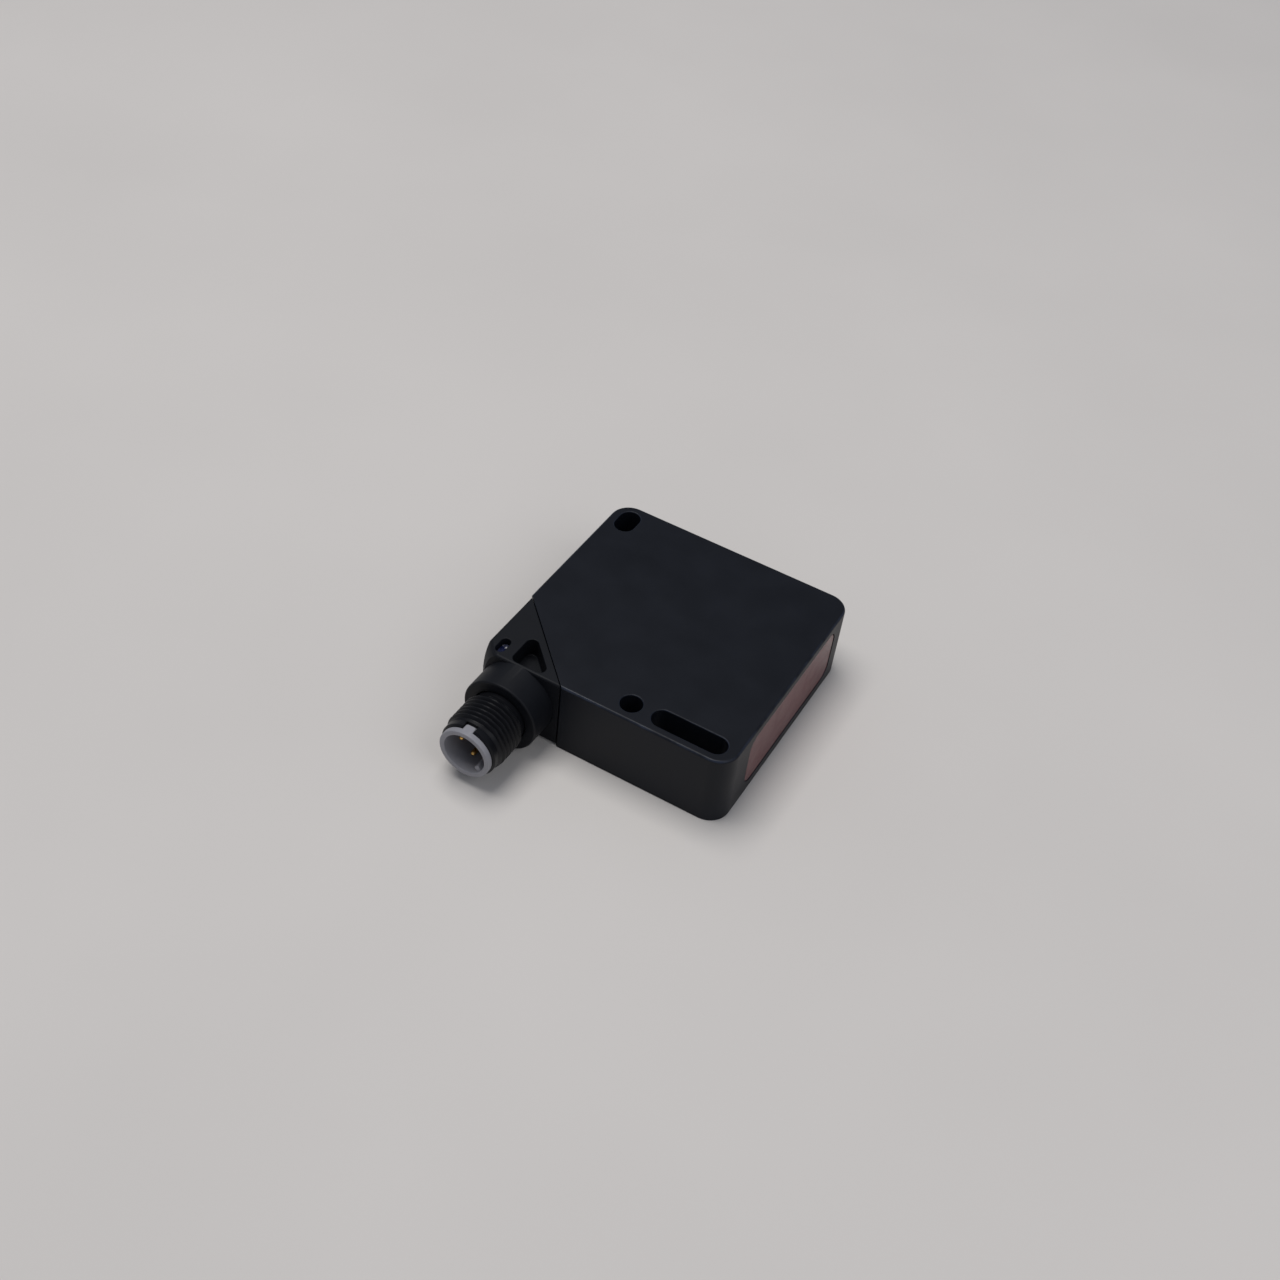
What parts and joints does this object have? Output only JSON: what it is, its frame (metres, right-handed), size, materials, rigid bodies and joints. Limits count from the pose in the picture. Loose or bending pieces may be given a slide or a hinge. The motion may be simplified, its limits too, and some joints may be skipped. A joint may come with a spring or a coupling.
{
  "type": "photoelectric proximity sensor",
  "caption": "Flat square photoelectric proximity sensor with a red window in one narrow side, through mounting slots and a swivelling threaded plug elbow.",
  "frame": {"origin": "axis of the round mounting hole at the underside", "axes": "+Z along the round hole up through the thickness, +X towards the window, -Y the way the plug points at rest"},
  "size_m": [0.05, 0.0666, 0.0154],
  "materials": {
    "housing_plastic": "fine moulded grain",
    "cover_plastic": "fine moulded grain",
    "seal_rubber": "moulded",
    "window_acrylic": "polished, red tint",
    "optics_plastic": "matt moulded",
    "lens_acrylic": "polished",
    "filter_glass": "polished",
    "circuit_board": "solder mask",
    "led_package": "moulded",
    "chip_plastic": "moulded",
    "screw_steel": "zinc plated",
    "capacitor_ceramic": "fired",
    "tinned_steel": "tinned",
    "socket_plastic": "moulded",
    "lead_insulation": "extruded",
    "guide_acrylic": "polished",
    "adjuster_metal": "nickel plated",
    "trimmer_plastic": "moulded",
    "rotor_plastic": "moulded",
    "spring_steel": "phosphated",
    "potting_resin": "cast, glossy",
    "barrel_plastic": "moulded",
    "carrier_plastic": "moulded",
    "gold_plate": "gold plated"
  },
  "bodies": {
    "housing": {"housing_shell": "housing_plastic", "base_cover": "cover_plastic", "cover_gasket": "seal_rubber", "front_window": "window_acrylic", "window_gasket": "seal_rubber", "optics_block": "optics_plastic", "emitter_lens": "lens_acrylic", "receiver_lens": "lens_acrylic", "receiver_filter": "filter_glass", "optics_board": "circuit_board", "emitter_led": "led_package", "receiver_array": "chip_plastic", "main_board": "circuit_board", "board_screws": "screw_steel", "board_link": "chip_plastic", "controller_chip": "chip_plastic", "driver_chip": "chip_plastic", "regulator_chip": "chip_plastic", "supply_capacitors": "capacitor_ceramic", "receiver_shield": "tinned_steel", "wire_socket": "socket_plastic", "inner_leads": "lead_insulation", "indicator_leds": "led_package", "power_light_guide": "guide_acrylic", "output_light_guide": "guide_acrylic", "trimmer_body": "trimmer_plastic"},
    "adjuster": {"adjuster_screw": "adjuster_metal", "adjuster_ring": "seal_rubber", "trimmer_rotor": "rotor_plastic"},
    "elbow": {"elbow_housing": "housing_plastic", "swivel_clip": "spring_steel", "swivel_ring": "seal_rubber", "outer_leads": "lead_insulation", "fill_plug": "potting_resin", "threaded_barrel": "barrel_plastic", "contact_carrier": "carrier_plastic", "contact_pin_1": "gold_plate", "contact_pin_2": "gold_plate", "contact_pin_3": "gold_plate", "contact_pin_4": "gold_plate"}
  },
  "joints": [
    {"name": "elbow_swivel", "type": "hinge", "parent": "housing", "child": "elbow", "pos_m": [-0.0204, 0.0048, 0.0077], "axis": [-0.7071, -0.7071, 0], "range_deg": [0, 180]},
    {"name": "range_adjuster", "type": "hinge", "parent": "housing", "child": "adjuster", "pos_m": [-0.0289, 0.0223, 0.0077], "axis": [-1, 0, 0], "range_deg": [0, 270]}
  ]
}
